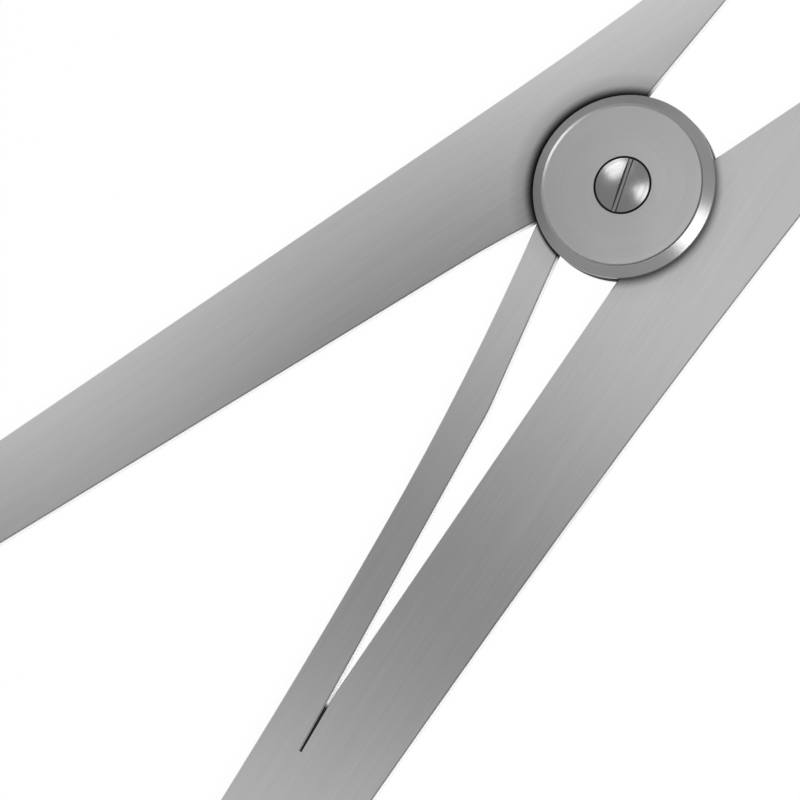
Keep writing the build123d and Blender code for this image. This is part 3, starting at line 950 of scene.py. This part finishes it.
class CALIPER_OT_scale_marks(bpy.types.Operator):
    """Black graduations and plain numerals on the arc"""

    bl_idname = "caliper.scale_marks"
    bl_label = "Scale marks"

    def execute(self, context):
        size = context.scene.caliper_scale
        black = plain_paint("scale_black", *SCALE_BLACK)
        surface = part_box("scale_arc")[1].z - SCALE_FACE_DROP
        thick = 2 * size.fill_height
        bm = bmesh.new()
        for tenth in range(round(size.opening / TENTH) + 1):
            length = size.mark_lengths[2 if tenth % 10 == 0 else 1 if tenth % 5 == 0 else 0]
            place = self.station(size, tenth * TENTH, size.base_radius + length / 2, surface)
            block(bm, (length, size.mark_width, thick), place)
        start, end = self.turn(size, 0), self.turn(size, size.opening)
        half = size.mark_width / 2
        ends = [Matrix.Rotation(start, 3, "Z") @ Vector((size.base_radius + side, 0, surface + thick / 2))
                for side in (-half, half)]
        line = [bm.verts.new(place) for place in ends]
        spin(bm, line + [bm.edges.new(line)], (0, 0, 0), (0, 0, 1), end - start, BASE_LINE_STEPS)
        marks = finished("scale_graduations", bm, "scale_side")
        marks.data.materials.append(black)
        numerals = bmesh.new()
        for number in range(round(size.opening / MM) + 1):
            self.numeral(numerals, size, number, surface, thick)
        figures = finished("scale_numerals", numerals, "scale_side")
        figures.data.materials.append(black)
        return {"FINISHED"}

    def turn(self, size, opening):
        """Direction of a mark for an opening of the jaws"""
        return size.zero_turn + 2 * asin(opening / (2 * size.jaw_reach))

    def station(self, size, opening, radius, surface):
        """Placing on the arc for an opening of the jaws"""
        return Matrix.Rotation(self.turn(size, opening), 4, "Z") @ Matrix.Translation((radius, 0, surface))

    def numeral(self, bm, size, number, surface, thick):
        """One numeral, its top away from the pivot"""
        curve = bpy.data.curves.new("numeral", "FONT")
        curve.body = str(number)
        curve.size = size.numeral_height * FONT_TO_NUMERAL
        curve.align_x = "CENTER"
        curve.align_y = "CENTER"
        curve.extrude = thick / 2
        text = linked("numeral", curve)
        mesh = evaluated_mesh(text)
        mesh.transform(self.station(size, number * MM, size.numeral_radius, surface)
                       @ Matrix.Rotation(-pi / 2, 4, "Z"))
        bm.from_mesh(mesh)
        bpy.data.objects.remove(text)
        bpy.data.curves.remove(curve)
        bpy.data.meshes.remove(mesh)


class CALIPER_OT_stage(bpy.types.Operator):
    """Pale floor, soft lights and the camera"""

    bl_idname = "caliper.stage"
    bl_label = "Stage"

    def execute(self, context):
        stage = context.scene.caliper_stage
        self.floor(stage)
        self.world(context.scene, stage)
        self.lights(stage)
        self.camera(context.scene, stage)
        context.scene.view_settings.view_transform = "Standard"
        return {"FINISHED"}

    def floor(self, stage):
        """Wide pale floor that reads as white and keeps a soft shadow"""
        bm = bmesh.new()
        bmesh.ops.create_grid(
            bm, x_segments=1, y_segments=1, size=FLOOR_SIZE, matrix=Matrix.Translation((0, 0, -FLOOR_DROP)))
        floor = linked("floor", mesh_from("floor", bm))
        material, tree, shader = new_material("floor_pale")
        shader.inputs["Base Color"].default_value = (*stage.floor_colour, 1)
        shader.inputs["Roughness"].default_value = FLOOR_ROUGHNESS
        shader.inputs["Specular IOR Level"].default_value = 0.0
        glow = add(tree, "ShaderNodeEmission", {"Color": (1, 1, 1, 1), "Strength": stage.floor_glow})
        path = add(tree, "ShaderNodeLightPath").outputs
        seen = maths(tree, "MAXIMUM", path["Is Camera Ray"], path["Is Glossy Ray"])
        seen = maths(tree, "MAXIMUM", seen, path["Is Transmission Ray"])
        mix = add(tree, "ShaderNodeMixShader", {
            0: times(tree, seen, GLOW_SHARE), 1: shader.outputs[0], 2: glow.outputs[0]})
        tree.links.new(mix.outputs[0], tree.nodes["Material Output"].inputs["Surface"])
        floor.data.materials.append(material)

    def world(self, scene, stage):
        """Studio room, brighter low at the sides and darker low beyond the caliper"""
        world = bpy.data.worlds.new("studio")
        world.use_nodes = True
        tree = world.node_tree
        shader = tree.nodes["Background"]
        direction = add(tree, "ShaderNodeTexCoord").outputs["Generated"]
        far = stage.axis_heading + pi / 2
        beyond = vectors(tree, "DOT_PRODUCT", direction, by=(cos(far), sin(far), 0))
        low = span(tree, beyond, *SIDE_TO_FAR, stage.side_level, stage.far_level)
        overhead = span(tree, parts_of(tree, direction)[2], *LOW_TO_OVERHEAD, 0.0, 1.0)
        level = add(tree, "ShaderNodeMix", {0: overhead, 2: low, 3: stage.room_level}, data_type="FLOAT")
        tree.links.new(level.outputs[0], shader.inputs["Strength"])
        shader.inputs["Color"].default_value = (1, 1, 1, 1)
        scene.world = world

    def lights(self, stage):
        """Soft lights that face the pivot: key from the near right, and two overhead and beyond"""
        near = stage.axis_heading - pi / 2
        powers = (stage.key_power, stage.top_power, stage.far_power)
        for (name, turn, lift, distance, sides), power in zip(LIGHTS, powers):
            light = bpy.data.lights.new(name, "AREA")
            light.shape = "RECTANGLE"
            light.size, light.size_y = sides
            light.energy = power
            heading, height = near + radians(turn), radians(lift)
            away = Vector((cos(heading) * cos(height), sin(heading) * cos(height), sin(height)))
            facing = away.to_track_quat("Z", "Y").to_matrix().to_4x4()
            linked(name, light).matrix_world = Matrix.Translation(PIVOT + away * distance) @ facing

    def camera(self, scene, stage):
        """Camera at the photograph's angle and framing"""
        along = Vector((cos(stage.axis_heading), sin(stage.axis_heading), 0))
        aside = Vector((sin(stage.axis_heading), -cos(stage.axis_heading), 0))
        up = Vector((0, 0, 1))
        back = cos(stage.tilt) * up + sin(stage.tilt) * aside
        down = cos(stage.tilt) * aside - sin(stage.tilt) * up
        turn = stage.axis_in_picture
        right = cos(turn) * along + sin(turn) * down
        top = sin(turn) * along - cos(turn) * down
        pixel = MM / stage.pixels_per_mm
        middle = PHOTO_SIDE / 2
        across = (middle - stage.pivot_pixel[0]) * pixel
        upward = (stage.pivot_pixel[1] - middle) * pixel
        aim = PIVOT + across * right + upward * top
        data = bpy.data.cameras.new("camera")
        data.type = "PERSP"
        data.sensor_width = SENSOR
        data.lens = SENSOR * stage.distance / (PHOTO_SIDE * pixel)
        data.clip_start = CLIP_START
        data.clip_end = CLIP_END
        camera = linked("camera", data)
        facing = Matrix((right, top, back)).transposed().to_4x4()
        camera.matrix_world = Matrix.Translation(aim + back * stage.distance) @ facing
        scene.camera = camera


class CALIPER_PT_panel(bpy.types.Panel):
    """Lists the caliper's pieces"""

    bl_label = "Spring caliper"
    bl_space_type = "VIEW_3D"
    bl_region_type = "UI"
    bl_category = "Caliper"

    def draw(self, context):
        for operator in OPERATORS:
            self.layout.operator(operator.bl_idname)


SETTINGS = (
    ("caliper_steel", CaliperSteelSettings),
    ("caliper_oil", CaliperOilSettings),
    ("caliper_spring", CaliperSpringSettings),
    ("caliper_pivot", CaliperPivotSettings),
    ("caliper_scale", CaliperScaleSettings),
    ("caliper_stage", CaliperStageSettings),
)
OPERATORS = (
    CALIPER_OT_legs,
    CALIPER_OT_tongue,
    CALIPER_OT_arc,
    CALIPER_OT_washers,
    CALIPER_OT_pivot_screw,
    CALIPER_OT_arc_screws,
    CALIPER_OT_scale_marks,
    CALIPER_OT_stage,
)


def register():
    for name, settings in SETTINGS:
        bpy.utils.register_class(settings)
        setattr(bpy.types.Scene, name, PointerProperty(type=settings))
    for cls in (*OPERATORS, CALIPER_PT_panel):
        bpy.utils.register_class(cls)


def unregister():
    for cls in (CALIPER_PT_panel, *reversed(OPERATORS)):
        bpy.utils.unregister_class(cls)
    for name, settings in reversed(SETTINGS):
        delattr(bpy.types.Scene, name)
        bpy.utils.unregister_class(settings)


def main():
    register()
    bpy.ops.caliper.legs()
    bpy.ops.caliper.tongue()
    bpy.ops.caliper.arc()
    bpy.ops.caliper.washers()
    bpy.ops.caliper.pivot_screw()
    bpy.ops.caliper.arc_screws()
    bpy.ops.caliper.scale_marks()
    bpy.ops.caliper.stage()


if __name__ == "__main__":
    main()
